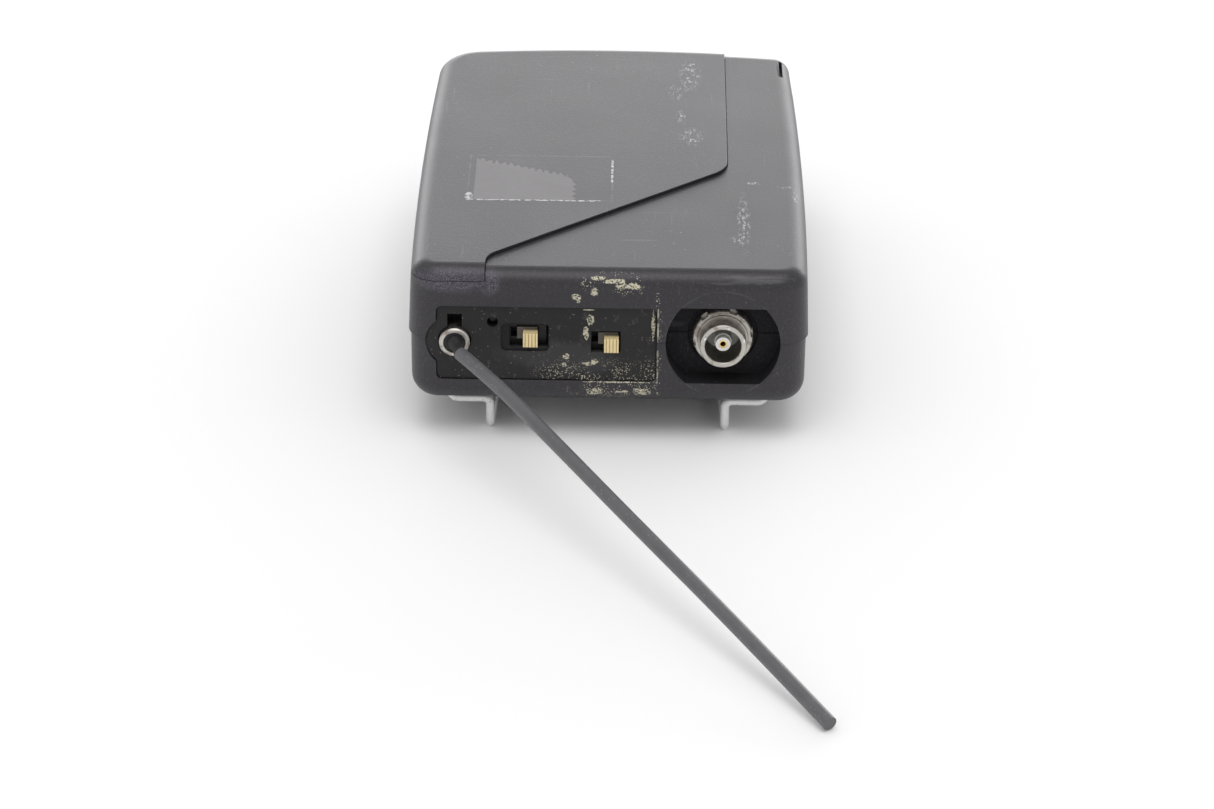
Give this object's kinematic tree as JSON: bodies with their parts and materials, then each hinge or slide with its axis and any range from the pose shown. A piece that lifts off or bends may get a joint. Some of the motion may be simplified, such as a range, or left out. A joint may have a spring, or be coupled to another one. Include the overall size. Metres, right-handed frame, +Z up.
{
  "type": "wireless bodypack transmitter",
  "caption": "Belt-worn audio transmitter: two-part case, sliding battery door, slide switches, wire antenna, recessed coaxial input and wire belt clip.",
  "frame": {"origin": "middle of the pack's footprint, on the surface under the belt clip", "axes": "+X right as the connector face is seen, -Y out of the connector face, +Z up, away from the belt clip"},
  "size_m": [0.0685, 0.1952, 0.0309],
  "materials": {
    "shell_plastic": "finely textured moulded plastic, scuffed along the front edge",
    "panel_plastic": "black matt insert, dusty",
    "knob_plastic": "ivory moulded plastic",
    "switch_plastic": "black moulded housing",
    "lamp_lens": "dark tinted lens",
    "nickel": "nickel plate, dulled by wear",
    "gold_contact": "gold plate",
    "white_insulator": "white fluoropolymer",
    "antenna_pvc": "grey-black flexible jacket",
    "plug_rubber": "black moulded rubber",
    "clip_steel": "zinc-plated spring wire",
    "screw_steel": "plated steel",
    "black_steel": "blackened sheet steel",
    "board_laminate": "green solder mask",
    "tinned_steel": "tinned sheet",
    "chip_epoxy": "black epoxy",
    "ferrite": "ferrite cores",
    "capacitor_sleeve": "dark blue sleeve",
    "trimmer_blue": "blue trimmer housing",
    "battery_jacket": "printed-steel jacket, plain",
    "spring_contact": "nickel-brass snap contacts",
    "contact_board": "dark moulded block",
    "foam": "closed-cell foam pad"
  },
  "bodies": {
    "case": {"upper_shell": "shell_plastic", "lower_shell": "shell_plastic", "control_panel": "panel_plastic", "power_switch_body": "switch_plastic", "mute_switch_body": "switch_plastic", "status_led": "lamp_lens", "antenna_sleeve": "nickel", "antenna_bracket": "black_steel", "antenna_plug": "plug_rubber", "antenna_wire": "antenna_pvc", "connector_barrel": "nickel", "connector_ring_nut": "nickel", "connector_lock_washer": "nickel", "connector_insulator": "white_insulator", "connector_contact": "gold_contact", "main_board": "board_laminate", "rf_shield": "tinned_steel", "rf_coils": "ferrite", "signal_chips": "chip_epoxy", "filter_capacitors": "capacitor_sleeve", "crystal_can": "tinned_steel", "gain_trimmer": "trimmer_blue", "board_screws": "screw_steel", "case_screws": "screw_steel", "battery": "battery_jacket", "battery_contact_block": "contact_board", "battery_contacts": "spring_contact", "battery_pad": "foam", "belt_clip": "clip_steel", "clip_push_nuts": "screw_steel"},
    "power_slider": {"power_switch_lever": "switch_plastic", "power_switch_knob": "knob_plastic"},
    "mute_slider": {"mute_switch_lever": "switch_plastic", "mute_switch_knob": "knob_plastic"},
    "door": {"battery_door": "shell_plastic"}
  },
  "joints": [
    {"name": "power_slide", "type": "slide", "parent": "case", "child": "power_slider", "axis": [1, 0, 0], "range_m": [-0.002, 0]},
    {"name": "mute_slide", "type": "slide", "parent": "case", "child": "mute_slider", "axis": [1, 0, 0], "range_m": [-0.002, 0]},
    {"name": "door_slide", "type": "slide", "parent": "case", "child": "door", "axis": [0, 1, 0], "range_m": [0, 0.042]}
  ]
}
